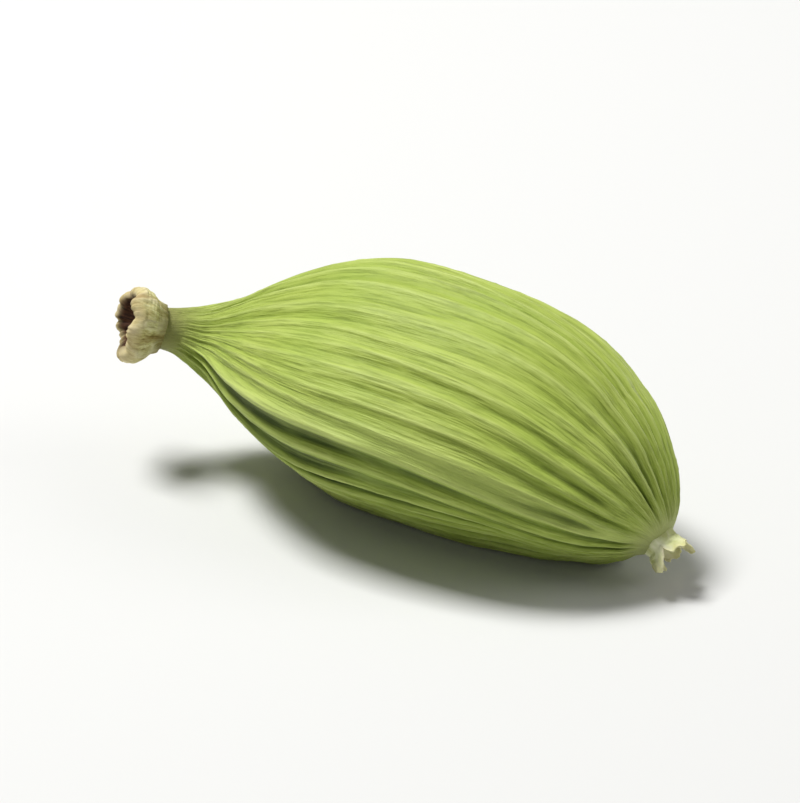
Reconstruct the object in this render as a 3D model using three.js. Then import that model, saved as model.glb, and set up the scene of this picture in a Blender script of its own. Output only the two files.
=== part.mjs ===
import * as THREE from 'three';

// Green cardamom pod, dried, lying on its belly.
// Millimetres, +Z up, the surface it lies on is z = 0 and the origin is in its resting spot.
// +X runs from the stalk end to the beak, and the sharpest long corner faces -Y.

// Backbone of the husk, from the neck to the beak, with the mean radius at each point.
const backbone = [
  { at: [-7.60, -1.05, 3.96], radius: 0.55 },
  { at: [-7.05, -0.52, 3.72], radius: 0.70 },
  { at: [-6.05, -0.10, 3.43], radius: 1.24 },
  { at: [-4.30, 0.06, 3.27], radius: 2.40 },
  { at: [-1.85, 0.05, 3.24], radius: 3.38 },
  { at: [0.85, 0.00, 3.20], radius: 3.52 },
  { at: [3.35, 0.00, 2.90], radius: 3.34 },
  { at: [5.25, 0.00, 2.32], radius: 2.70 },
  { at: [6.50, -0.04, 1.80], radius: 1.90 },
  { at: [7.22, -0.10, 1.46], radius: 1.14 },
  { at: [7.64, -0.16, 1.20], radius: 0.46 },
];

// Three rounded corners round the pod, one for each chamber, and three broader faces. Each corner has
// a narrow ridge along it. The corner on the back is the roundest.
const cornerCount = 3;
const cornerDepth = 0.13;
const cornerRidge = 0.20;
const ridgeReach = 0.11;
const frontCorner = THREE.MathUtils.degToRad(10);
const meanSharpness = 0.7;
const sharpnessSpread = 0.3;
const depthToHeight = 0.97;

// Ribs that run from the neck to the beak, with a furrow on each side and a vein on the crest.
const ribCount = 33;
const furrowReach = 0.19;
const furrowScatter = 0.26;
const crestHeight = 0.035;
const crestWidth = 0.12;
const columnsPerRib = 4;
const huskRows = 40;
const rowCrowding = 0.3;

// Depth of the furrows as shares of `furrowReach`: below the front corner and above it, what the back
// and the beak end add to that, and what is left where the belly is pressed flat.
const shareBelow = 1.20;
const shareAbove = 0.42;
const shareOnBack = 0.10;
const shareByBeak = 0.20;
const shareOnBelly = 0.4;

// Where those shares take over: round the section as heights, -1 at the belly to 1 at the back, and
// along the pod.
const upFromCorner = [0.08, 0.28];
const ontoBack = [0.75, 0.95];
const upFromBelly = [-0.97, -0.80];
const towardsBeak = [0.62, 0.88];

// Each furrow's depth is drawn between `leastDepth` and 1, wavers along the pod and grows towards the
// beak. The short ones, every other one, start late and end early.
const leastDepth = 0.65;
const furrowWaver = 0.40;
const furrowWaverRate = 9;
const beakGrowth = 0.3;
const beakGrowthRise = [0.55, 0.85];
const furrowStart = 0.04;
const furrowEnd = 0.985;
const shortStart = 0.20;
const shortEnd = 0.16;
const furrowLeadIn = 0.18;
const furrowLeadOut = 0.12;

// Mean bluntness of a rib's section, and how far it rises to the back and falls to the belly.
const bluntness = 1.9;
const bluntnessSpread = 0.9;

// Slow waves that push the ribs sideways: size in radians, rate along the pod and round it, and phase.
const ribWaves = [
  { size: 0.035, along: 0, around: 4, phase: 1.3 },
  { size: 0.018, along: 0, around: 9, phase: 0.4 },
  { size: 0.050, along: 5.5, around: 3, phase: 0 },
  { size: 0.014, along: 14, around: 7, phase: 2 },
];

// Places along the pod where the corners and the crests fade in from the neck and out to the beak,
// and the least share of its height that a crest is drawn.
const cornerFade = { neck: [0.05, 0.35], beak: [0.85, 1] };
const crestFade = { neck: [0.02, 0.20], beak: [0.90, 1] };
const leastCrest = 0.6;

// Shallow hollows where the husk shrank as it dried: place along and around, reach and depth.
const hollows = [
  { along: 0.64, around: -0.50, reachAlong: 0.10, reachAround: 0.42, depth: 0.22 },
  { along: 0.38, around: 1.05, reachAlong: 0.14, reachAround: 0.40, depth: 0.14 },
  { along: 0.70, around: 1.20, reachAlong: 0.09, reachAround: 0.45, depth: 0.10 },
  { along: 0.50, around: 2.95, reachAlong: 0.15, reachAround: 0.40, depth: 0.20 },
  { along: 0.30, around: -0.62, reachAlong: 0.08, reachAround: 0.30, depth: 0.08 },
];

// Half the height band over which the belly flattens onto the surface.
const restBand = 0.22;

// The stub and the flower foot stand this far clear of the husk.
const jointGap = 0.02;

// Stalk stub: height and radius from its foot up the outside, over the torn rim and down the hollow.
const stubProfile = [
  [0, 0.66], [0.16, 0.80], [0.36, 0.96], [0.60, 1.04], [0.82, 0.98],
  [0.84, 0.76], [0.62, 0.58], [0.40, 0.44], [0.26, 0.30],
];
const stubColumns = 32;
const stubRim = { outside: [2, 4], inside: [5, 7] };
const stubTear = 0.13;
const stubTearWaves = [
  { size: 0.6, around: 3, phase: 0.6 },
  { size: 0.4, around: 7, phase: 2 },
];
const stubTongue = { height: 0.22, around: THREE.MathUtils.degToRad(200), reach: 0.5 };
const stubSwell = { size: 0.05, around: 3, phase: 0.8 };

// Withered flower foot: a short crown of torn lobes on the beak.
const remnantProfile = [
  [0, 0.50], [0.20, 0.47], [0.48, 0.51], [0.80, 0.52], [0.78, 0.43], [0.38, 0.32], [0.14, 0.20],
];
const remnantLobes = 5;
const columnsPerLobe = 4;
const remnantBase = 0.12;
const notchHeight = 0.22;
const leastLobe = 0.5;
const lobeBluntness = 0.7;
const lobeBend = 0.28;
const lobeBendInward = 0.3;
const lobeBendHeight = 0.6;

// Repeatable draws: the sine that they come from, and the number of the first draw of each kind.
const drawSine = { rate: 12.9898, phase: 4.1, scale: 43758.5453 };
const firstDraw = {
  place: 0, waver: 40, start: 80, end: 120, depth: 200, crest: 400, lobeHeight: 500, lobeBend: 522,
};

const spine = new THREE.CatmullRomCurve3(
  backbone.map(({ at }) => new THREE.Vector3(...at)), false, 'catmullrom', 0.5);
const girth = new THREE.CatmullRomCurve3(
  backbone.map(({ radius }) => new THREE.Vector3(radius, 0, 0)), false, 'catmullrom', 0.5);

// A repeatable draw between 0 and 1, a different one for each kind and index.
function draw(kind, index) {
  const value = Math.sin((firstDraw[kind] + index) * drawSine.rate + drawSine.phase) * drawSine.scale;
  return value - Math.floor(value);
}

function smoothRise(from, to, value) {
  return THREE.MathUtils.smoothstep(value, from, to);
}

// Difference of two angles, between minus half a turn and half a turn.
function angleBetween(angle, other) {
  return Math.atan2(Math.sin(angle - other), Math.cos(angle - other));
}

function bell(offset, reach) {
  return Math.exp(-((offset / reach) ** 2));
}

// 1 over the middle of the pod, fading out towards the neck and the beak.
function bodyFade(along, { neck, beak }) {
  return smoothRise(...neck, along) * (1 - smoothRise(...beak, along));
}

// Directions across the backbone: `side` is level, `lift` points up the pod's back.
function frameAt(along) {
  const forward = spine.getTangent(along);
  const side = new THREE.Vector3(0, 1, 0);
  side.addScaledVector(forward, -side.dot(forward)).normalize();
  const lift = new THREE.Vector3().crossVectors(forward, side);
  return { forward, side, lift };
}

// Angle round the pod: even turns, pushed about a little as the ribs grew.
function skinAngle(turn, along) {
  const full = 2 * Math.PI * turn;
  return ribWaves.reduce((angle, wave) => angle
    + wave.size * Math.sin(wave.along * along + wave.around * full + wave.phase), full);
}

// Where furrow `index` lies round the pod, in turns. The furrows are unevenly spaced.
function furrowPlace(index) {
  return (index + furrowScatter * (draw('place', index % ribCount) - 0.5)) / ribCount;
}

// Depth of a furrow along the pod, as a share.
function furrowDepth(furrow, along) {
  const index = furrow % ribCount;
  const short = index % 2;
  const start = furrowStart + shortStart * short * draw('start', index);
  const end = furrowEnd - shortEnd * short * draw('end', index);
  const phase = 2 * Math.PI * draw('waver', index);
  const waver = 1 + furrowWaver * Math.sin(furrowWaverRate * along + phase);
  const growth = 1 + beakGrowth * smoothRise(...beakGrowthRise, along);
  const depth = (leastDepth + (1 - leastDepth) * draw('depth', index)) * waver * growth;
  return depth * bodyFade(along, { neck: [start, start + furrowLeadIn], beak: [end - furrowLeadOut, end] });
}

// Share of the full depth that furrows have at a place on the pod.
function furrowShare(angle, along) {
  const height = Math.sin(angle);
  const below = 1 - smoothRise(...upFromCorner, height);
  const back = smoothRise(...ontoBack, height);
  const beakward = smoothRise(...towardsBeak, along);
  const pressed = 1 - smoothRise(...upFromBelly, height);
  const above = shareAbove + shareOnBack * back + shareByBeak * beakward;
  return (shareBelow * below + above * (1 - below)) * (1 - (1 - shareOnBelly) * pressed);
}

// Share of the full sharpness that a corner has.
function cornerShare(angle) {
  const backCorner = frontCorner + 2 * Math.PI / cornerCount;
  return meanSharpness - sharpnessSpread * Math.cos(angle - backCorner);
}

// Depth across a rib, 0 on its crest and 1 in the furrow on each side of it. The furrows are
// narrow between flat ribs on the back, and wide between sharp crests under the belly.
function ribProfile(part, angle) {
  const power = bluntness + bluntnessSpread * Math.sin(angle);
  return Math.sin(Math.PI / 2 * Math.abs(2 * part - 1)) ** power;
}

// Relief of rib `rib` at `part` of its width, 0 to 1, under the smooth form of the pod.
function ribRelief(rib, part, angle, along) {
  const nearest = part > 0.5 ? rib + 1 : rib;
  const share = furrowShare(angle, along) * furrowDepth(nearest, along);
  const crestShare = leastCrest + (1 - leastCrest) * draw('crest', rib);
  const crest = bodyFade(along, crestFade) * crestShare * bell(part - 0.5, crestWidth);
  return crestHeight * crest - furrowReach * share * ribProfile(part, angle);
}

function hollowDepth(angle, along) {
  return hollows.reduce((depth, hollow) => depth + hollow.depth
    * bell(along - hollow.along, hollow.reachAlong)
    * bell(angleBetween(angle, hollow.around), hollow.reachAround), 0);
}

function huskPoint(rib, part, along) {
  const { side, lift } = frameAt(along);
  const turn = furrowPlace(rib) * (1 - part) + furrowPlace(rib + 1) * part;
  const angle = skinAngle(turn, along);
  const fromCorner = angleBetween(cornerCount * angle, cornerCount * frontCorner) / cornerCount;
  const sharpness = cornerShare(angle) * bodyFade(along, cornerFade);
  const corner = cornerDepth * sharpness * Math.cos(cornerCount * fromCorner);
  const ridge = cornerRidge * sharpness * bell(fromCorner, ridgeReach);
  const rounded = girth.getPoint(along).x * (1 + corner) + ridge;
  const radius = rounded + ribRelief(rib, part, angle, along) - hollowDepth(angle, along);
  const point = spine.getPoint(along);
  point.addScaledVector(side, -radius * Math.cos(angle) * depthToHeight);
  point.addScaledVector(lift, radius * Math.sin(angle));
  return settle(point);
}

// Presses the lowest part of the belly flat onto the surface, with a soft edge.
function settle(point) {
  if (point.z < -restBand) {
    point.z = 0;
  } else if (point.z < restBand) {
    point.z = (point.z + restBand) ** 2 / (4 * restBand);
  }
  return point;
}

// Closed skin over rings of equal length, with a fan over each open end.
// Each ring turns anticlockwise as seen from the ring after it, so that the skin faces out.
function closedSkin(rings) {
  const count = rings[0].length;
  const positions = rings.flat().flatMap((point) => point.toArray());
  const faces = [];
  for (let row = 0; row + 1 < rings.length; row += 1) {
    for (let column = 0; column < count; column += 1) {
      const a = row * count + column;
      const b = row * count + (column + 1) % count;
      faces.push(a, b, b + count, a, b + count, a + count);
    }
  }
  const last = (rings.length - 1) * count;
  const startCentre = positions.length / 3;
  const endCentre = startCentre + 1;
  positions.push(...centreOf(rings[0]).toArray(), ...centreOf(rings[rings.length - 1]).toArray());
  for (let column = 0; column < count; column += 1) {
    const next = (column + 1) % count;
    faces.push(startCentre, next, column, endCentre, last + column, last + next);
  }
  const geometry = new THREE.BufferGeometry();
  geometry.setAttribute('position', new THREE.Float32BufferAttribute(positions, 3));
  geometry.setIndex(faces);
  geometry.computeVertexNormals();
  return geometry;
}

function centreOf(ring) {
  const sum = ring.reduce((total, point) => total.add(point), new THREE.Vector3());
  return sum.divideScalar(ring.length);
}

// Rings from the beak to the neck, closer together over the pod's middle.
function huskGeometry() {
  const rings = [];
  for (let row = 0; row <= huskRows; row += 1) {
    const even = 1 - row / huskRows;
    const along = even + rowCrowding * Math.sin(2 * Math.PI * even) / (2 * Math.PI);
    const ring = [];
    for (let column = 0; column < ribCount * columnsPerRib; column += 1) {
      const rib = Math.floor(column / columnsPerRib);
      ring.push(huskPoint(rib, column / columnsPerRib - rib, along));
    }
    rings.push(ring);
  }
  return closedSkin(rings);
}

// Cup on one end of the husk. `shapeAt` gives the height and radius of a profile point at an angle.
function cupGeometry(along, outwardSign, rows, columns, shapeAt) {
  const { forward, side } = frameAt(along);
  const outward = forward.multiplyScalar(outwardSign);
  const upward = new THREE.Vector3().crossVectors(outward, side);
  const rings = [];
  for (let row = 0; row < rows; row += 1) {
    const ring = [];
    for (let column = 0; column < columns; column += 1) {
      const angle = 2 * Math.PI * column / columns;
      const [height, radius] = shapeAt(row, angle);
      const point = spine.getPoint(along).addScaledVector(outward, jointGap + height);
      point.addScaledVector(side, radius * Math.cos(angle));
      point.addScaledVector(upward, radius * Math.sin(angle));
      ring.push(point);
    }
    rings.push(ring);
  }
  return closedSkin(rings);
}

function stubShape(row, angle) {
  const [height, radius] = stubProfile[row];
  const onRim = smoothRise(...stubRim.outside, row) * (1 - smoothRise(...stubRim.inside, row));
  const tear = stubTearWaves.reduce((sum, wave) => sum + waveAt(wave, angle), 0);
  const tongue = stubTongue.height * bell(angleBetween(angle, stubTongue.around), stubTongue.reach);
  return [height + onRim * (stubTear * tear + tongue), radius * (1 + waveAt(stubSwell, angle))];
}

function waveAt({ size, around, phase }, angle) {
  return size * Math.sin(around * angle + phase);
}

function remnantShape(row, angle) {
  const [height, radius] = remnantProfile[row];
  const place = remnantLobes * angle / (2 * Math.PI);
  const lobe = Math.floor(place);
  const rise = Math.sin(Math.PI * (place - lobe)) ** lobeBluntness;
  const drawn = leastLobe + (1 - leastLobe) * draw('lobeHeight', lobe);
  const tall = notchHeight + (1 - notchHeight) * drawn * rise;
  const bend = lobeBend * (draw('lobeBend', lobe) - lobeBendInward) * rise;
  const raised = Math.max(0, height - remnantBase);
  return [
    Math.min(height, remnantBase) + raised * tall,
    radius + bend * (raised / lobeBendHeight) ** 2,
  ];
}

function named(name, geometry, color, roughness) {
  const material = new THREE.MeshStandardMaterial({ color, roughness, metalness: 0 });
  const mesh = new THREE.Mesh(geometry, material);
  mesh.name = name;
  return mesh;
}

const stub = cupGeometry(0, -1, stubProfile.length, stubColumns, stubShape);
const remnant = cupGeometry(1, 1, remnantProfile.length, remnantLobes * columnsPerLobe, remnantShape);

const pod = new THREE.Group();
pod.name = 'green_cardamom_pod';
pod.add(named('husk', huskGeometry(), '#9db052', 0.62));
pod.add(named('stalk_stub', stub, '#c9bf8c', 0.8));
pod.add(named('flower_remnant', remnant, '#d4d9a2', 0.75));

export default pod;
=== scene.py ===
from math import cos, pi, radians, sin

import bpy
import numpy as np
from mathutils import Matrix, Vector


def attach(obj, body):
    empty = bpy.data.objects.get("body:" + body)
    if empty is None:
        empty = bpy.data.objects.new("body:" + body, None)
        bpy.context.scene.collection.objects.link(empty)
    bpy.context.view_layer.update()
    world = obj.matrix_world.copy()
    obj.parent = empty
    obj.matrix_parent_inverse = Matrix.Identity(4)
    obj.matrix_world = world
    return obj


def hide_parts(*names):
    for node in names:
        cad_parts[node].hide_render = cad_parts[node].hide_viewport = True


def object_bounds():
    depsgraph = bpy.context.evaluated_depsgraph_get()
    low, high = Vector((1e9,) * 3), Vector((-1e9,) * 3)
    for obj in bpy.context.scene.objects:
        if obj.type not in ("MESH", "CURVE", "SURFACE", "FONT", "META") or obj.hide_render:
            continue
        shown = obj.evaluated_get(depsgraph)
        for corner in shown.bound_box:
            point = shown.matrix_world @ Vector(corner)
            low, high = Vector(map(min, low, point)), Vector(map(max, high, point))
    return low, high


# Green cardamom pod, dried, lying on its belly.
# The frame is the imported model's: metres, +X from the stalk end to the beak, -Y towards the viewer.
# The husk, the stalk stub and the flower remnant are made again here with a finer skin on the same form.

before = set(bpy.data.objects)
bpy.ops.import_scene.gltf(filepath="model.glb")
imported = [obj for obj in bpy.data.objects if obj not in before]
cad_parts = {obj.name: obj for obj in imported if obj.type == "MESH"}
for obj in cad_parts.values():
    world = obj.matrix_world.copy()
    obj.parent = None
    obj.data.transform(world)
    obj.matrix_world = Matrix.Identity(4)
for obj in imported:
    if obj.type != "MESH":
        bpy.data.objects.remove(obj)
cad_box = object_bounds()

MM = 0.001

# Backbone of the husk, from the neck to the beak: x, y, z and the mean radius there, in millimetres.
BACKBONE = np.array([
    [-7.60, -1.05, 3.96, 0.55],
    [-7.05, -0.52, 3.72, 0.70],
    [-6.05, -0.10, 3.43, 1.24],
    [-4.30, 0.06, 3.27, 2.40],
    [-1.85, 0.05, 3.24, 3.38],
    [0.85, 0.00, 3.20, 3.52],
    [3.35, 0.00, 2.90, 3.34],
    [5.25, 0.00, 2.32, 2.70],
    [6.50, -0.04, 1.80, 1.90],
    [7.22, -0.10, 1.46, 1.14],
    [7.64, -0.16, 1.20, 0.46],
])
HUSK_LENGTH = 16.0
MEAN_RADIUS = 3.4

# Three rounded corners, one for each chamber, with a narrow ridge along each. The one on the back is
# the roundest.
CORNERS = 3
CORNER_DEPTH = 0.13
CORNER_RIDGE = 0.20
RIDGE_REACH = 0.11
FRONT_CORNER = radians(10)
MEAN_SHARPNESS = 0.7
SHARPNESS_SPREAD = 0.3
DEPTH_TO_HEIGHT = 0.97

# Ribs that run from the neck to the beak, with a furrow on each side and a vein on the crest.
RIBS = 33
FURROW_REACH = 0.19
FURROW_SCATTER = 0.26
CREST_HEIGHT = 0.035
CREST_WIDTH = 0.12

# Depth of the furrows as shares of FURROW_REACH: below the front corner and above it, what the back
# and the beak end add to that, and what is left where the belly is pressed flat.
SHARE_BELOW = 1.20
SHARE_ABOVE = 0.42
SHARE_ON_BACK = 0.10
SHARE_BY_BEAK = 0.20
SHARE_ON_BELLY = 0.4

# Where those shares take over: round the section as heights, -1 at the belly to 1 at the back, and
# along the pod.
UP_FROM_CORNER = (0.08, 0.28)
ONTO_BACK = (0.75, 0.95)
UP_FROM_BELLY = (-0.97, -0.80)
TOWARDS_BEAK = (0.62, 0.88)

# Each furrow's depth is drawn between LEAST_DEPTH and 1, wavers along the pod and grows towards the
# beak. The short ones, every other one, start late and end early.
LEAST_DEPTH = 0.65
FURROW_WAVER = 0.40
FURROW_WAVER_RATE = 9
BEAK_GROWTH = 0.3
BEAK_GROWTH_RISE = (0.55, 0.85)
FURROW_START = 0.04
FURROW_END = 0.985
SHORT_START = 0.20
SHORT_END = 0.16
FURROW_LEAD_IN = 0.18
FURROW_LEAD_OUT = 0.12

# Mean bluntness of a rib's section, and how far it rises to the back and falls to the belly.
BLUNTNESS = 1.9
BLUNTNESS_SPREAD = 0.9

# Slow waves that push the ribs sideways: size in radians, rate along and round the pod, and phase.
RIB_WAVES = (
    (0.035, 0, 4, 1.3),
    (0.018, 0, 9, 0.4),
    (0.050, 5.5, 3, 0),
    (0.014, 14, 7, 2),
)

# Places along the pod where the corners and the crests fade in from the neck and out to the beak,
# and the least share of its height that a crest is drawn.
CORNER_FADE = (0.05, 0.35, 0.85, 1)
CREST_FADE = (0.02, 0.20, 0.90, 1)
LEAST_CREST = 0.6

# How dark the painted shade in the furrows is above the front corner, where the face turns up to the light,
# as a share of that below it.
PAINTED_SHADE_ABOVE = 0.70

# Fine relief of the dried skin: cells of its noise round and along the pod, the width of its lines as
# a share of the noise, and its height in millimetres. Hairs are paler than the skin, but less than veins.
VEINS = {"around": RIBS * 4, "lengthwise": 5, "seed": 5, "width": 0.26, "height": 0.022}
HAIRS = {"around": RIBS * 8, "lengthwise": 16, "seed": 6, "width": 0.40, "height": 0.016}
WRINKLES = {"around": RIBS * 2, "lengthwise": 60, "seed": 7, "width": 0.26, "height": 0.014}
PUCKERS = {"around": 26, "lengthwise": 18, "seed": 8, "height": 0.022}
LINE_SHARPNESS = 1.5
HAIR_PALENESS = 0.4

# Shallow hollows where the husk shrank: along, around, reach along, reach around, depth.
HOLLOWS = (
    (0.64, -0.50, 0.10, 0.42, 0.22),
    (0.38, 1.05, 0.14, 0.40, 0.14),
    (0.70, 1.20, 0.09, 0.45, 0.10),
    (0.50, 2.95, 0.15, 0.40, 0.20),
    (0.30, -0.62, 0.08, 0.30, 0.08),
)

# Half the height band over which the belly flattens onto the floor.
REST_BAND = 0.22

COLUMNS_PER_RIB = 16
HUSK_COLUMNS = RIBS * COLUMNS_PER_RIB
HUSK_ROWS = 186
ROW_CROWDING = 0.3

# Stalk stub: height and radius from its foot up the outside, over the rim and down the hollow. Where
# its rim, hollow, creased wall and foot are is given in numbers of these points. Waves round it are
# given as size, number and phase, and its fine relief like the husk's: splinters on the rim, fibres
# and creases up the wall, lumps all over and a pitted hollow.
STUB_PROFILE = np.array([
    [-0.10, 0.66], [0.16, 0.80], [0.36, 0.96], [0.60, 1.04], [0.82, 0.98],
    [0.84, 0.76], [0.62, 0.58], [0.40, 0.44], [0.26, 0.30],
])
STUB_RIM = (2, 4, 5, 7)
STUB_INSIDE = (4.3, 5.6)
STUB_WALL_END = (2.5, 4)
STUB_FOOT = (0, 1.6)
STUB_TEAR = 0.13
STUB_TEAR_WAVES = ((0.6, 3, 0.6), (0.4, 7, 2))
STUB_TONGUE = 0.22
STUB_TONGUE_AT = radians(200)
STUB_TONGUE_REACH = 0.5
STUB_SWELL = (0.05, 3, 0.8)
STUB_SPLINTERS = {"around": 36, "lengthwise": 1, "seed": 21, "height": 0.07}
STUB_FINE_SPLINTERS = {"around": 72, "lengthwise": 1, "seed": 22, "height": 0.042}
STUB_FIBRES = {"around": 26, "lengthwise": 4, "seed": 23, "width": 0.5, "height": 0.035}
STUB_CREASES = {"around": 9, "lengthwise": 22, "seed": 24, "width": 0.35, "height": 0.030}
STUB_LUMPS = {"around": 12, "lengthwise": 10, "seed": 25, "height": 0.03}
STUB_PITTING = {"around": 20, "lengthwise": 16, "seed": 26, "height": 0.05}
STUB_RADIUS = 1.0
STUB_COLUMNS = 144
STUB_ROWS = 80

# Withered flower foot: a short crown of torn lobes on the beak, given like the stub, with a frayed rim,
# pleats along it and crumples.
REMNANT_PROFILE = np.array([
    [-0.10, 0.50], [0.20, 0.47], [0.48, 0.51], [0.80, 0.52],
    [0.78, 0.43], [0.38, 0.32], [0.14, 0.20],
])
REMNANT_RIM = (1.5, 3, 4, 5)
REMNANT_INSIDE = (3.2, 4)
REMNANT_LOBES = 5
REMNANT_BASE = 0.12
NOTCH_HEIGHT = 0.22
LEAST_LOBE = 0.5
LOBE_BLUNTNESS = 0.7
LOBE_BEND = 0.28
LOBE_BEND_INWARD = 0.3
LOBE_BEND_HEIGHT = 0.6
REMNANT_FRAYS = {"around": 30, "lengthwise": 1, "seed": 31, "height": 0.06}
REMNANT_FINE_FRAYS = {"around": 60, "lengthwise": 1, "seed": 32, "height": 0.042}
REMNANT_PLEATS = {"around": 24, "lengthwise": 3, "seed": 33, "width": 0.35, "height": 0.035}
REMNANT_CRUMPLES = {"around": 12, "lengthwise": 14, "seed": 34, "height": 0.030}
REMNANT_RADIUS = 0.45
REMNANT_COLUMNS = 120
REMNANT_ROWS = 60

# Sizes of the colour patterns in millimetres: the husk's patches, the stub's stains and the flower
# foot's blotches. The fibres are about 0.03 wide, too fine to show, so they are drawn as coarse as this.
PATCH_SIZE = 3
STAIN_SIZE = 0.5
BLOTCH_SIZE = 0.3
FIBRE_WIDTH = 0.08

# How many times as long as wide the patterns are drawn on each piece.
HUSK_STRETCH = 11
STUB_STRETCH = 3
REMNANT_STRETCH = 2

# Repeatable draws: the sine that they come from, and the number of the first draw of each kind.
DRAW_RATE, DRAW_PHASE, DRAW_SCALE = 12.9898, 4.1, 43758.5453
FIRST_DRAW = {"place": 0, "waver": 40, "start": 80, "end": 120, "depth": 200, "tone": 300,
              "crest": 400, "lobe height": 500, "lobe bend": 522}


# Shape

def catmull_rom(points, along):
    """Point on an even Catmull-Rom curve through `points`, for `along` from 0 to 1."""
    spans = len(points) - 1
    place = np.clip(along, 0, 1) * spans
    index = np.minimum(place.astype(int), spans - 1)
    part = (place - index)[..., None]
    line = np.vstack([2 * points[0] - points[1], points, 2 * points[-1] - points[-2]])
    before, start, end, after = (line[index + step] for step in range(4))
    leave = (end - before) / 2
    arrive = (after - start) / 2
    cubic = 2 * start - 2 * end + leave + arrive
    square = -3 * start + 3 * end - 2 * leave - arrive
    return ((cubic * part + square) * part + leave) * part + start


def smooth_rise(low, high, value):
    part = np.clip((value - low) / (high - low), 0, 1)
    return part * part * (3 - 2 * part)


def fade(low, full, leave, gone, value):
    """0 below `low` and above `gone`, and 1 from `full` to `leave`."""
    return smooth_rise(low, full, value) * (1 - smooth_rise(leave, gone, value))


def bell(offset, reach):
    return np.exp(-(offset / reach) ** 2)


def angle_between(angle, other):
    return np.arctan2(np.sin(angle - other), np.cos(angle - other))


def draw(kind, index):
    """A repeatable draw between 0 and 1, a different one for each kind and index."""
    value = np.sin((FIRST_DRAW[kind] + index) * DRAW_RATE + DRAW_PHASE) * DRAW_SCALE
    return value - np.floor(value)


def soft_noise(turn, along, around, lengthwise, seed):
    """Smooth noise between -1 and 1, in cells on the skin, which closes on itself round the pod."""
    grid = np.random.default_rng(seed).uniform(-1, 1, (around, lengthwise + 3))
    x = turn * around
    y = np.clip(along, 0, 1) * lengthwise
    column = np.floor(x).astype(int)
    row = np.floor(y).astype(int)
    u = x - column
    v = y - row
    u = u * u * (3 - 2 * u)
    v = v * v * (3 - 2 * v)
    near = grid[column % around, row] * (1 - v) + grid[column % around, row + 1] * v
    far = grid[(column + 1) % around, row] * (1 - v) + grid[(column + 1) % around, row + 1] * v
    return near * (1 - u) + far * u


def thin_lines(noise, width):
    """1 along the lines where noise changes sign, falling to 0 at `width` from them."""
    return np.clip(1 - np.abs(noise) / width, 0, 1) ** LINE_SHARPNESS


def skin_noise(kind, turn, along):
    return soft_noise(turn, along, kind["around"], kind["lengthwise"], kind["seed"])


def skin_lines(kind, turn, along):
    return thin_lines(skin_noise(kind, turn, along), kind["width"])


def frames_along(along):
    """Directions at a place on the backbone: forward, level side and upward lift."""
    step = 1e-4
    forward = catmull_rom(BACKBONE, along + step) - catmull_rom(BACKBONE, along - step)
    forward = forward[..., :3]
    forward = forward / np.linalg.norm(forward, axis=-1, keepdims=True)
    side = np.array([0.0, 1.0, 0.0]) - forward * forward[..., 1:2]
    side = side / np.linalg.norm(side, axis=-1, keepdims=True)
    return forward, side, np.cross(forward, side)


def rib_profile(part, angle):
    """Depth across a rib, 0 on its crest and 1 in the furrow on each side of it. The furrows are
    narrow between flat ribs on the back, and wide between sharp crests under the belly."""
    power = BLUNTNESS + BLUNTNESS_SPREAD * np.sin(angle)
    return np.sin(pi / 2 * np.abs(2 * part - 1)) ** power


def furrow_share(angle, along):
    """Share of the full depth that furrows have at a place on the pod."""
    height = np.sin(angle)
    below = 1 - smooth_rise(*UP_FROM_CORNER, height)
    back = smooth_rise(*ONTO_BACK, height)
    beakward = smooth_rise(*TOWARDS_BEAK, along)
    pressed = 1 - smooth_rise(*UP_FROM_BELLY, height)
    above = SHARE_ABOVE + SHARE_ON_BACK * back + SHARE_BY_BEAK * beakward
    return (SHARE_BELOW * below + above * (1 - below)) * (1 - (1 - SHARE_ON_BELLY) * pressed)


def corner_share(angle):
    """Share of the full sharpness that a corner has."""
    back_corner = FRONT_CORNER + 2 * pi / CORNERS
    return MEAN_SHARPNESS - SHARPNESS_SPREAD * np.cos(angle - back_corner)


def furrow_place(index):
    """Where furrow `index` lies round the pod, in turns: unevenly spaced, as they grew."""
    return (index + FURROW_SCATTER * (draw("place", index % RIBS) - 0.5)) / RIBS


def furrow_depth(index, along):
    """Depth of a furrow along the pod, as a share."""
    index = index % RIBS
    short = index % 2
    start = FURROW_START + SHORT_START * short * draw("start", index)
    end = FURROW_END - SHORT_END * short * draw("end", index)
    waver = 1 + FURROW_WAVER * np.sin(FURROW_WAVER_RATE * along + 2 * pi * draw("waver", index))
    growth = 1 + BEAK_GROWTH * smooth_rise(*BEAK_GROWTH_RISE, along)
    depth = (LEAST_DEPTH + (1 - LEAST_DEPTH) * draw("depth", index)) * waver * growth
    return depth * fade(start, start + FURROW_LEAD_IN, end - FURROW_LEAD_OUT, end, along)


def skin_angle(turn, along):
    """Angle round the pod: even turns, pushed about a little as the ribs grew."""
    full = 2 * pi * turn
    return full + sum(size * np.sin(rate * along + around * full + phase)
                      for size, rate, around, phase in RIB_WAVES)


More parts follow.
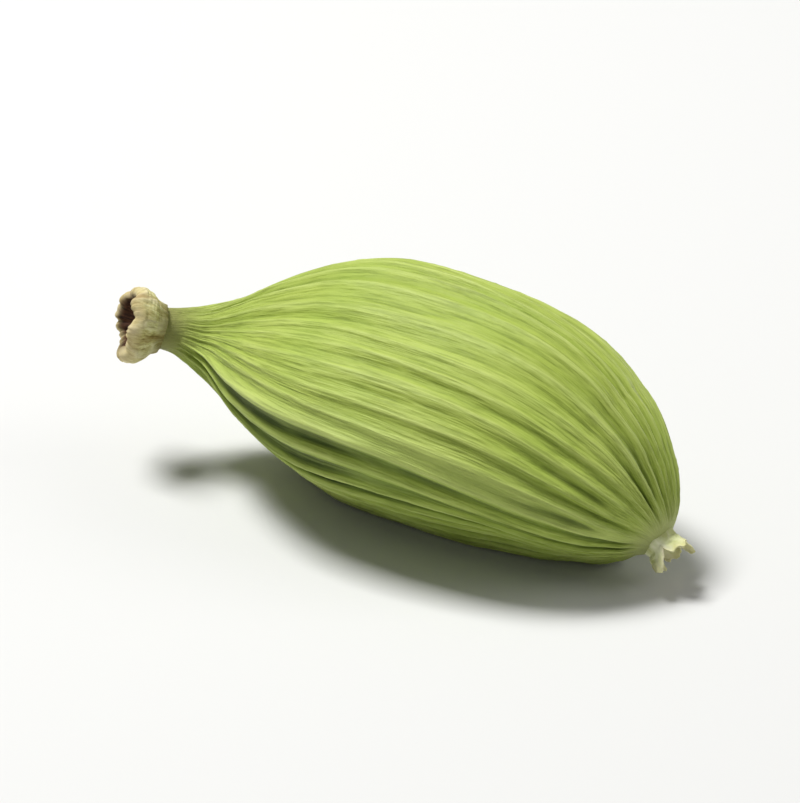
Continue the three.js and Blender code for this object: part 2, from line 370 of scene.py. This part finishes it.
def husk_skin(rib, part, along):
    """Points of the husk's skin in millimetres, with the marks that its colours follow.
    `rib` numbers the rib and `part` runs from 0 to 1 across it."""
    turn = furrow_place(rib) * (1 - part) + furrow_place(rib + 1) * part
    _, side, lift = frames_along(along)
    knot = catmull_rom(BACKBONE, along)
    angle = skin_angle(turn, along)
    from_corner = angle_between(CORNERS * angle, CORNERS * FRONT_CORNER) / CORNERS
    sharpness = corner_share(angle) * fade(*CORNER_FADE, along)
    ridge = sharpness * bell(from_corner, RIDGE_REACH)
    radius = knot[..., 3] * (1 + CORNER_DEPTH * sharpness * np.cos(CORNERS * from_corner))
    radius += CORNER_RIDGE * ridge

    nearest = rib + (part > 0.5)
    furrow = furrow_share(angle, along) * furrow_depth(nearest, along) * rib_profile(part, angle)
    radius -= FURROW_REACH * furrow

    for place, around, reach_along, reach_around, depth in HOLLOWS:
        radius -= depth * bell(along - place, reach_along) * bell(angle_between(angle, around), reach_around)

    body = fade(*CREST_FADE, along)
    crest_share = LEAST_CREST + (1 - LEAST_CREST) * draw("crest", rib)
    crest = body * crest_share * bell(part - 0.5, CREST_WIDTH)
    vein = skin_lines(VEINS, turn, along)
    hair = skin_lines(HAIRS, turn, along)
    wrinkle = skin_lines(WRINKLES, turn, along)
    pucker = skin_noise(PUCKERS, turn, along)
    radius += CREST_HEIGHT * crest
    radius += body * (VEINS["height"] * vein + HAIRS["height"] * hair
                      + WRINKLES["height"] * wrinkle + PUCKERS["height"] * pucker)

    point = knot[..., :3] - side * (radius * np.cos(angle) * DEPTH_TO_HEIGHT)[..., None]
    point = point + lift * (radius * np.sin(angle))[..., None]
    height = point[..., 2]
    pressed = np.where(height < -REST_BAND, 0, (height + REST_BAND) ** 2 / (4 * REST_BAND))
    point[..., 2] = np.where(height > REST_BAND, height, pressed)
    # Painted shade: the furrows' colour is kept darker below the front corner, where the face turns from the
    # light.
    stain_and_shade = 1 - (1 - PAINTED_SHADE_ABOVE) * smooth_rise(*UP_FROM_CORNER, np.sin(angle))
    shade = np.clip(furrow * stain_and_shade, 0, 1)
    marks = {
        "furrow": shade,
        "vein": np.clip(vein + HAIR_PALENESS * hair, 0, 1),
        "crest": crest,
        "ridge": ridge * (1 - shade),
        "along": along,
        "tone": draw("tone", rib),
    }
    return point, turn, marks


def cup_grid(profile, rows, columns):
    """Grid over a cup: height and radius of its profile, the profile point it is at, and the angle."""
    along = np.repeat(np.linspace(0, 1, rows + 1)[:, None], columns, axis=1)
    angle = np.repeat(2 * pi * np.arange(columns)[None, :] / columns, rows + 1, axis=0)
    knot = catmull_rom(profile, along)
    return knot[..., 0], knot[..., 1], along * (len(profile) - 1), angle


def cup_points(along, outward_sign, height, radius, angle):
    """Points of a cup that stands on one end of the backbone, with its rings run from the inside out."""
    forward, side, _ = frames_along(np.array(along))
    outward = forward * outward_sign
    upward = np.cross(outward, side)
    foot = catmull_rom(BACKBONE, np.array(along))[:3]
    return (foot + height[..., None] * outward + (radius * np.cos(angle))[..., None] * side
            + (radius * np.sin(angle))[..., None] * upward)[::-1]


def wave_at(wave, angle):
    size, around, phase = wave
    return size * np.sin(around * angle + phase)


def stub_skin():
    """Rings of the stalk stub, with a torn rim, fibres up its wall and a rough pit."""
    height, radius, knot, angle = cup_grid(STUB_PROFILE, STUB_ROWS, STUB_COLUMNS)
    turn = angle / (2 * pi)
    place = knot / (len(STUB_PROFILE) - 1)
    near_rim = fade(*STUB_RIM, knot)
    inside = smooth_rise(*STUB_INSIDE, knot)
    wall = 1 - smooth_rise(*STUB_WALL_END, knot)
    tear = sum(wave_at(wave, angle) for wave in STUB_TEAR_WAVES)
    tongue = STUB_TONGUE * bell(angle_between(angle, STUB_TONGUE_AT), STUB_TONGUE_REACH)
    height += near_rim * (STUB_TEAR * tear + tongue)
    radius *= 1 + wave_at(STUB_SWELL, angle)

    fibre = skin_lines(STUB_FIBRES, turn, place)
    crease = skin_lines(STUB_CREASES, turn, place)
    for kind in (STUB_SPLINTERS, STUB_FINE_SPLINTERS):
        height += near_rim * kind["height"] * skin_noise(kind, turn, 0 * turn)
    radius += (1 - inside) * (STUB_FIBRES["height"] * fibre - STUB_CREASES["height"] * crease * wall)
    radius += STUB_LUMPS["height"] * skin_noise(STUB_LUMPS, turn, place)
    radius += inside * STUB_PITTING["height"] * skin_noise(STUB_PITTING, turn, place)
    marks = {
        "inside": inside,
        "rim": near_rim,
        "fibre": fibre,
        "foot": 1 - smooth_rise(*STUB_FOOT, knot),
    }
    return cup_points(0.0, -1, height, radius, angle), turn, height, marks


def remnant_lobe(turn):
    """Height of the crown of torn lobes round the flower foot, and how far each lobe bends out."""
    place = turn * REMNANT_LOBES
    lobe = np.floor(place)
    rise = np.sin(pi * (place - lobe)) ** LOBE_BLUNTNESS
    tall = (LEAST_LOBE + (1 - LEAST_LOBE) * draw("lobe height", lobe)) * rise
    bend = LOBE_BEND * (draw("lobe bend", lobe) - LOBE_BEND_INWARD) * rise
    return NOTCH_HEIGHT + (1 - NOTCH_HEIGHT) * tall, bend


def remnant_skin():
    """Rings of the withered flower foot, with a frayed rim, pleats and crumples."""
    height, radius, knot, angle = cup_grid(REMNANT_PROFILE, REMNANT_ROWS, REMNANT_COLUMNS)
    turn = angle / (2 * pi)
    place = knot / (len(REMNANT_PROFILE) - 1)
    lobe, bend = remnant_lobe(turn)
    raised = np.maximum(0, height - REMNANT_BASE)
    height = np.minimum(height, REMNANT_BASE) + raised * lobe
    radius += bend * (raised / LOBE_BEND_HEIGHT) ** 2

    near_rim = fade(*REMNANT_RIM, knot)
    for kind in (REMNANT_FRAYS, REMNANT_FINE_FRAYS):
        height += near_rim * kind["height"] * skin_noise(kind, turn, 0 * turn)
    for kind in (REMNANT_PLEATS, REMNANT_CRUMPLES):
        radius += kind["height"] * skin_noise(kind, turn, place)
    marks = {
        "inside": smooth_rise(*REMNANT_INSIDE, knot),
        "rim": near_rim,
        "fibre": skin_lines(REMNANT_PLEATS, turn, place),
    }
    return cup_points(1.0, 1, height, radius, angle), turn, height, marks


# Meshes

def even_rows(rows):
    """Places along the pod, closer together over its middle."""
    even = np.linspace(0, 1, rows + 1)
    return even + ROW_CROWDING * np.sin(2 * pi * even) / (2 * pi)


def face_corners(*corners):
    """Corners of a row of faces in the UV map, each corner given as its u and v."""
    return np.stack([np.stack(np.broadcast_arrays(*corner), 1) for corner in corners], 1).reshape(-1, 2)


def skin_mesh(name, rings, marks, grain):
    """Closed mesh over a grid of rings in millimetres, with a UV map and one attribute for each mark."""
    rows, columns = rings.shape[:2]
    ends = np.array([rings[0].mean(axis=0), rings[-1].mean(axis=0)])
    points = np.concatenate([rings.reshape(-1, 3), ends]) * MM
    row, column = np.meshgrid(np.arange(rows - 1), np.arange(columns), indexing="ij")
    row = row.ravel()
    column = column.ravel()
    following = (column + 1) % columns
    quads = np.stack([
        row * columns + column,
        (row + 1) * columns + column,
        (row + 1) * columns + following,
        row * columns + following,
    ], axis=1)
    round_ring = np.arange(columns)
    next_round = (round_ring + 1) % columns
    start = rows * columns
    last = (rows - 1) * columns
    first_fan = np.stack([np.full(columns, start), round_ring, next_round], axis=1)
    last_fan = np.stack([np.full(columns, start + 1), last + next_round, last + round_ring], axis=1)
    mesh = bpy.data.meshes.new(name)
    faces = quads.tolist() + first_fan.tolist() + last_fan.tolist()
    mesh.from_pydata(points.tolist(), [], faces)
    mesh.shade_smooth()
    across = 1 / columns
    up = 1 / (rows + 1)
    left = column * across
    low = (row + 1) * up
    right = left + across
    quad_uv = face_corners((left, low), (left, low + up), (right, low + up), (right, low))
    left = round_ring * across
    right = left + across
    middle = left + across / 2
    first_uv = face_corners((middle, 0), (left, up), (right, up))
    last_uv = face_corners((middle, 1), (right, 1 - up), (left, 1 - up))
    layer = mesh.uv_layers.new(name="OFBake")
    uv = np.concatenate([quad_uv, first_uv, last_uv]).astype(np.float32)
    layer.data.foreach_set("uv", uv.ravel())
    for label, values in marks.items():
        ends = [values[0].mean(), values[-1].mean()]
        attribute = mesh.attributes.new(label, "FLOAT", "POINT")
        attribute.data.foreach_set("value", np.append(values.ravel(), ends).astype(np.float32))
    ends = np.array([grain[0].mean(axis=0), grain[-1].mean(axis=0)])
    attribute = mesh.attributes.new("grain", "FLOAT_VECTOR", "POINT")
    attribute.data.foreach_set(
        "vector", np.concatenate([grain.reshape(-1, 3), ends]).astype(np.float32).ravel())
    return mesh


def add_piece(name, mesh, node, material):
    piece = bpy.data.objects.new(name, mesh)
    bpy.context.scene.collection.objects.link(piece)
    mesh.materials.append(material)
    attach(piece, "root")
    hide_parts(node)


# Materials

def linear(code):
    """Linear colour of an sRGB hex value."""
    values = [int(code[place:place + 2], 16) / 255 for place in (1, 3, 5)]
    return [v / 12.92 if v <= 0.04045 else ((v + 0.055) / 1.055) ** 2.4 for v in values] + [1]


def add(tree, kind, settings=None, inputs=None):
    """Adds a node, sets it, and gives each input a value or the output that feeds it."""
    node = tree.nodes.new(kind)
    for name, value in (settings or {}).items():
        setattr(node, name, value)
    for name, value in (inputs or {}).items():
        if isinstance(value, bpy.types.NodeSocket):
            tree.links.new(value, node.inputs[name])
        else:
            node.inputs[name].default_value = value
    return node


def set_ramp(node, stops):
    """Colour stops of a Color Ramp: place and hex colour."""
    elements = node.color_ramp.elements
    while len(elements) < len(stops):
        elements.new(1)
    for element, (place, code) in zip(elements, stops):
        element.position = place
        element.color = linear(code)


def new_material(name):
    material = bpy.data.materials.new(name)
    material.use_nodes = True
    tree = material.node_tree
    tree.nodes.clear()
    return material, tree


def dried_husk():
    """Cardamom husk, air dried: a matt fibrous skin. Pale dry ribs stand over furrows darkened with painted
    shade, darkest below the front corner, fine fibres streak along them, and thin papery fuzz lightens the
    edges."""
    material, tree = new_material("cardamom husk, air dried")
    furrow, vein, crest, ridge, along, tone = (
        add(tree, "ShaderNodeAttribute", {"attribute_name": name}).outputs["Fac"]
        for name in ("furrow", "vein", "crest", "ridge", "along", "tone"))
    grain = add(tree, "ShaderNodeAttribute", {"attribute_name": "grain"}).outputs["Vector"]
    place = add(tree, "ShaderNodeTexCoord").outputs["Object"]

    # Painted shade: the deeper a furrow, the darker its green, standing in for the shade that falls in it.
    depth = add(tree, "ShaderNodeValToRGB", inputs={"Fac": furrow})
    set_ramp(depth, [(0.0, "#b4c45e"), (0.32, "#a5b74e"), (0.54, "#687a14"), (0.78, "#3f5204")])
    colour = depth.outputs["Color"]

    # Each rib dried to a tone of its own. Veins stand out dry and pale, the stoutest on each crest.
    for mark, most, code, blend in (
            (tone, 0.28, "#c8d08a", "MULTIPLY"),
            (vein, 0.25, "#c4d07a", "MIX"),
            (crest, 0.40, "#cbd787", "MIX")):
        share = add(tree, "ShaderNodeMath", {"operation": "MULTIPLY"}, {0: mark, 1: most}).outputs[0]
        colour = add(tree, "ShaderNodeMix", {"data_type": "RGBA", "blend_type": blend}, {
            0: share, 6: colour, 7: linear(code)}).outputs[2]

    # Patches of fresher green, between the yellower ones where the husk dried first.
    patch = add(tree, "ShaderNodeTexNoise", {}, {
        "Vector": place, "Scale": 1 / (PATCH_SIZE * MM), "Detail": 3.0})
    patch_mask = add(tree, "ShaderNodeMapRange", {}, {
        "Value": patch.outputs["Fac"], "From Min": 0.42, "From Max": 0.66, "To Max": 0.35})
    colour = add(tree, "ShaderNodeMix", {"data_type": "RGBA"}, {
        0: patch_mask.outputs["Result"], 6: colour, 7: linear("#9fb84a")}).outputs[2]

    # Fibres along the pod.
    streak = add(tree, "ShaderNodeTexNoise", {}, {
        "Vector": grain, "Scale": 1 / FIBRE_WIDTH, "Detail": 4.0, "Roughness": 0.6})
    streak_shade = add(tree, "ShaderNodeValToRGB", inputs={"Fac": streak.outputs["Fac"]})
    set_ramp(streak_shade, [(0.34, "#b4bb88"), (0.48, "#e6ead2"), (0.60, "#ffffff")])
    colour = add(tree, "ShaderNodeMix", {"data_type": "RGBA", "blend_type": "MULTIPLY"}, {
        0: 0.7, 6: colour, 7: streak_shade.outputs["Color"]}).outputs[2]

    # The ridge along each corner is pale: a paler seam, brightened further by a painted highlight.
    share = add(tree, "ShaderNodeMath", {"operation": "MULTIPLY"}, {0: ridge, 1: 0.45}).outputs[0]
    colour = add(tree, "ShaderNodeMix", {"data_type": "RGBA"}, {
        0: share, 6: colour, 7: linear("#cfdc86")}).outputs[2]

    # Straw at the neck and the beak, where the green has gone.
    for green, straw, most, code in ((0.16, 0.0, 0.85, "#97935a"), (0.88, 1.0, 0.8, "#b9bf80")):
        share = add(tree, "ShaderNodeMapRange", {"interpolation_type": "SMOOTHSTEP"}, {
            "Value": along, "From Min": green, "From Max": straw, "To Max": most}).outputs["Result"]
        colour = add(tree, "ShaderNodeMix", {"data_type": "RGBA"}, {
            0: share, 6: colour, 7: linear(code)}).outputs[2]

    rough = add(tree, "ShaderNodeMapRange", {}, {
        "Value": furrow, "To Min": 0.55, "To Max": 0.75})
    bump = add(tree, "ShaderNodeBump", {}, {
        "Height": streak.outputs["Fac"], "Strength": 1.0, "Distance": 0.05 * MM})
    surface = add(tree, "ShaderNodeBsdfPrincipled", {}, {
        "Base Color": colour, "Roughness": rough.outputs["Result"], "IOR": 1.45,
        "Specular IOR Level": 0.35, "Normal": bump.outputs["Normal"],
        "Sheen Weight": 0.16, "Sheen Roughness": 0.40, "Sheen Tint": linear("#eef3cc")})
    add(tree, "ShaderNodeOutputMaterial", {}, {"Surface": surface.outputs["BSDF"]})
    return material


def dried_stub():
    """Stalk stub, dried and torn: pale straw wood fibre, stained brown where it bled sap, with a tan rim and
    a dark brown hollow that the light hardly reaches, its brown deepened there with painted shade."""
    material, tree = new_material("stalk fibre, dried and torn")
    inside, rim, fibre, foot = (
        add(tree, "ShaderNodeAttribute", {"attribute_name": name}).outputs["Fac"]
        for name in ("inside", "rim", "fibre", "foot"))
    grain = add(tree, "ShaderNodeAttribute", {"attribute_name": "grain"}).outputs["Vector"]

    # Brown stains on straw.
    stain_and_shade = add(tree, "ShaderNodeTexNoise", {}, {
        "Vector": grain, "Scale": 1 / STAIN_SIZE, "Detail": 5.0})
    ground = add(tree, "ShaderNodeValToRGB", inputs={"Fac": stain_and_shade.outputs["Fac"]})
    set_ramp(ground, [(0.36, "#9c8b57"), (0.45, "#cac389"), (0.58, "#dcdaa8"), (0.70, "#c8c08a")])
    colour = ground.outputs["Color"]

    # Fibres up the stub.
    streak = add(tree, "ShaderNodeTexNoise", {}, {
        "Vector": grain, "Scale": 1 / FIBRE_WIDTH, "Detail": 5.0, "Roughness": 0.7})
    streak_shade = add(tree, "ShaderNodeValToRGB", inputs={"Fac": streak.outputs["Fac"]})
    set_ramp(streak_shade, [(0.36, "#a39668"), (0.50, "#e9e4cc"), (0.62, "#ffffff")])
    colour = add(tree, "ShaderNodeMix", {"data_type": "RGBA", "blend_type": "MULTIPLY"}, {
        0: 0.85, 6: colour, 7: streak_shade.outputs["Color"]}).outputs[2]

    # Pale fibres, a tan rim, an olive foot, and the brown hollow darkened with painted shade.
    for mark, most, code in ((fibre, 0.5, "#e9e2bf"), (rim, 0.45, "#cfb78a"), (foot, 0.7, "#7d7340")):
        share = add(tree, "ShaderNodeMath", {"operation": "MULTIPLY"}, {0: mark, 1: most}).outputs[0]
        colour = add(tree, "ShaderNodeMix", {"data_type": "RGBA"}, {
            0: share, 6: colour, 7: linear(code)}).outputs[2]
    # Painted shade: the hollow's brown is taken near black, where the light hardly reaches.
    hollow = add(tree, "ShaderNodeValToRGB", inputs={"Fac": streak.outputs["Fac"]})
    set_ramp(hollow, [(0.40, "#2a160c"), (0.60, "#5b3a22")])
    colour = add(tree, "ShaderNodeMix", {"data_type": "RGBA"}, {
        0: inside, 6: colour, 7: hollow.outputs["Color"]}).outputs[2]

    bump = add(tree, "ShaderNodeBump", {}, {
        "Height": streak.outputs["Fac"], "Strength": 0.8, "Distance": 0.03 * MM})
    surface = add(tree, "ShaderNodeBsdfPrincipled", {}, {
        "Base Color": colour, "Roughness": 0.85, "IOR": 1.45, "Specular IOR Level": 0.3,
        "Normal": bump.outputs["Normal"]})
    add(tree, "ShaderNodeOutputMaterial", {}, {"Surface": surface.outputs["BSDF"]})
    return material


def withered_flower():
    """Flower foot, withered: thin papery tissue, faded to a greenish cream, with pale veins and tan
    tips."""
    material, tree = new_material("flower tissue, withered to paper")
    inside, rim, fibre = (
        add(tree, "ShaderNodeAttribute", {"attribute_name": name}).outputs["Fac"]
        for name in ("inside", "rim", "fibre"))
    grain = add(tree, "ShaderNodeAttribute", {"attribute_name": "grain"}).outputs["Vector"]

    # Faint blotches.
    blotch = add(tree, "ShaderNodeTexNoise", {}, {
        "Vector": grain, "Scale": 1 / BLOTCH_SIZE, "Detail": 5.0})
    ground = add(tree, "ShaderNodeValToRGB", inputs={"Fac": blotch.outputs["Fac"]})
    set_ramp(ground, [(0.36, "#c3c884"), (0.50, "#dde2ae"), (0.64, "#eceec8")])
    colour = ground.outputs["Color"]

    # Pale veins, tan tips and a duller inside.
    for mark, most, code in ((fibre, 0.5, "#f0efd2"), (rim, 0.22, "#c9ab76"), (inside, 0.4, "#a39a62")):
        share = add(tree, "ShaderNodeMath", {"operation": "MULTIPLY"}, {0: mark, 1: most}).outputs[0]
        colour = add(tree, "ShaderNodeMix", {"data_type": "RGBA"}, {
            0: share, 6: colour, 7: linear(code)}).outputs[2]

    bump = add(tree, "ShaderNodeBump", {}, {
        "Height": blotch.outputs["Fac"], "Strength": 0.6, "Distance": 0.03 * MM})
    surface = add(tree, "ShaderNodeBsdfPrincipled", {}, {
        "Base Color": colour, "Roughness": 0.7, "IOR": 1.45, "Normal": bump.outputs["Normal"],
        "Sheen Weight": 0.2, "Sheen Roughness": 0.5, "Sheen Tint": linear("#f7f5e2")})
    add(tree, "ShaderNodeOutputMaterial", {}, {"Surface": surface.outputs["BSDF"]})
    return material


def plain_material(name, code, roughness):
    material, tree = new_material(name)
    surface = add(tree, "ShaderNodeBsdfPrincipled", {}, {
        "Base Color": linear(code), "Roughness": roughness})
    add(tree, "ShaderNodeOutputMaterial", {}, {"Surface": surface.outputs["BSDF"]})
    return material


# Husk

def make_husk():
    along = np.repeat(even_rows(HUSK_ROWS)[:, None], HUSK_COLUMNS, axis=1)
    column = np.repeat(np.arange(HUSK_COLUMNS)[None, :], HUSK_ROWS + 1, axis=0)
    rib = column // COLUMNS_PER_RIB
    part = (column % COLUMNS_PER_RIB) / COLUMNS_PER_RIB
    rings, turn, marks = husk_skin(rib, part, along)
    grain = np.stack([
        along * HUSK_LENGTH / HUSK_STRETCH,
        MEAN_RADIUS * np.cos(2 * pi * turn),
        MEAN_RADIUS * np.sin(2 * pi * turn),
    ], axis=-1)
    mesh = skin_mesh("husk_skin", rings, marks, grain)
    add_piece("husk_skin", mesh, "husk", dried_husk())


# Stalk stub and flower foot

def cup_grain(turn, height, radius, stretch):
    """Places for the patterns of a cup, in millimetres, as if it were a tube of one radius."""
    return np.stack([
        height / stretch,
        radius * np.cos(2 * pi * turn),
        radius * np.sin(2 * pi * turn),
    ], axis=-1)[::-1]


def turned(marks):
    """Marks in the order of the cup's rings, from the inside out."""
    return {label: values[::-1] for label, values in marks.items()}


def make_stub():
    rings, turn, height, marks = stub_skin()
    grain = cup_grain(turn, height, STUB_RADIUS, STUB_STRETCH)
    mesh = skin_mesh("stub_skin", rings, turned(marks), grain)
    add_piece("stub_skin", mesh, "stalk_stub", dried_stub())


def make_remnant():
    rings, turn, height, marks = remnant_skin()
    grain = cup_grain(turn, height, REMNANT_RADIUS, REMNANT_STRETCH)
    mesh = skin_mesh("remnant_skin", rings, turned(marks), grain)
    add_piece("remnant_skin", mesh, "flower_remnant", withered_flower())


# Studio

VIEW_AZIMUTH = radians(31.5)
VIEW_ELEVATION = radians(27)
VIEW_WIDTH = 21.5 * MM
LENS = 240
SENSOR = 36
FLOOR_REACH = 0.6
SKY_STRENGTH = 0.20

# Softboxes: name, place and width in metres, and power in watts.
SOFTBOXES = (
    ("key", (-0.09, 0.00, 0.22), 0.08, 0.68),
    ("fill", (0.22, 0.10, 0.14), 0.16, 0.16),
)


def make_studio():
    floor = bpy.data.meshes.new("floor")
    corners = [(-1, -1), (1, -1), (1, 1), (-1, 1)]
    floor.from_pydata([(x * FLOOR_REACH, y * FLOOR_REACH, 0) for x, y in corners], [], [(0, 1, 2, 3)])
    floor.materials.append(plain_material("paper floor, matt pale grey", "#dadad8", 0.9))
    stage = bpy.data.objects.new("floor", floor)
    bpy.context.scene.collection.objects.link(stage)

    world = bpy.data.worlds.new("studio")
    world.use_nodes = True
    world.node_tree.nodes["Background"].inputs["Color"].default_value = (1, 1, 1, 1)
    world.node_tree.nodes["Background"].inputs["Strength"].default_value = SKY_STRENGTH
    bpy.context.scene.world = world

    for softbox in SOFTBOXES:
        add_softbox(*softbox)

    low, high = (Vector(corner) for corner in cad_box)
    target = (low + high) / 2
    away = Vector((
        sin(VIEW_AZIMUTH) * cos(VIEW_ELEVATION),
        -cos(VIEW_AZIMUTH) * cos(VIEW_ELEVATION),
        sin(VIEW_ELEVATION)))
    data = bpy.data.cameras.new("camera")
    data.lens = LENS
    data.sensor_width = SENSOR
    data.clip_start = 0.01
    data.clip_end = 10
    camera = bpy.data.objects.new("camera", data)
    camera.location = target + away * (VIEW_WIDTH * LENS / SENSOR)
    camera.rotation_euler = away.to_track_quat("Z", "Y").to_euler()
    bpy.context.scene.collection.objects.link(camera)
    bpy.context.scene.camera = camera
    bpy.context.scene.view_settings.view_transform = "Standard"


def add_softbox(name, place, width, power):
    data = bpy.data.lights.new(name, "AREA")
    data.shape = "SQUARE"
    data.size = width
    data.energy = power
    light = bpy.data.objects.new(name, data)
    light.location = place
    light.rotation_euler = Vector(place).to_track_quat("Z", "Y").to_euler()
    bpy.context.scene.collection.objects.link(light)


make_studio()
make_husk()
make_stub()
make_remnant()
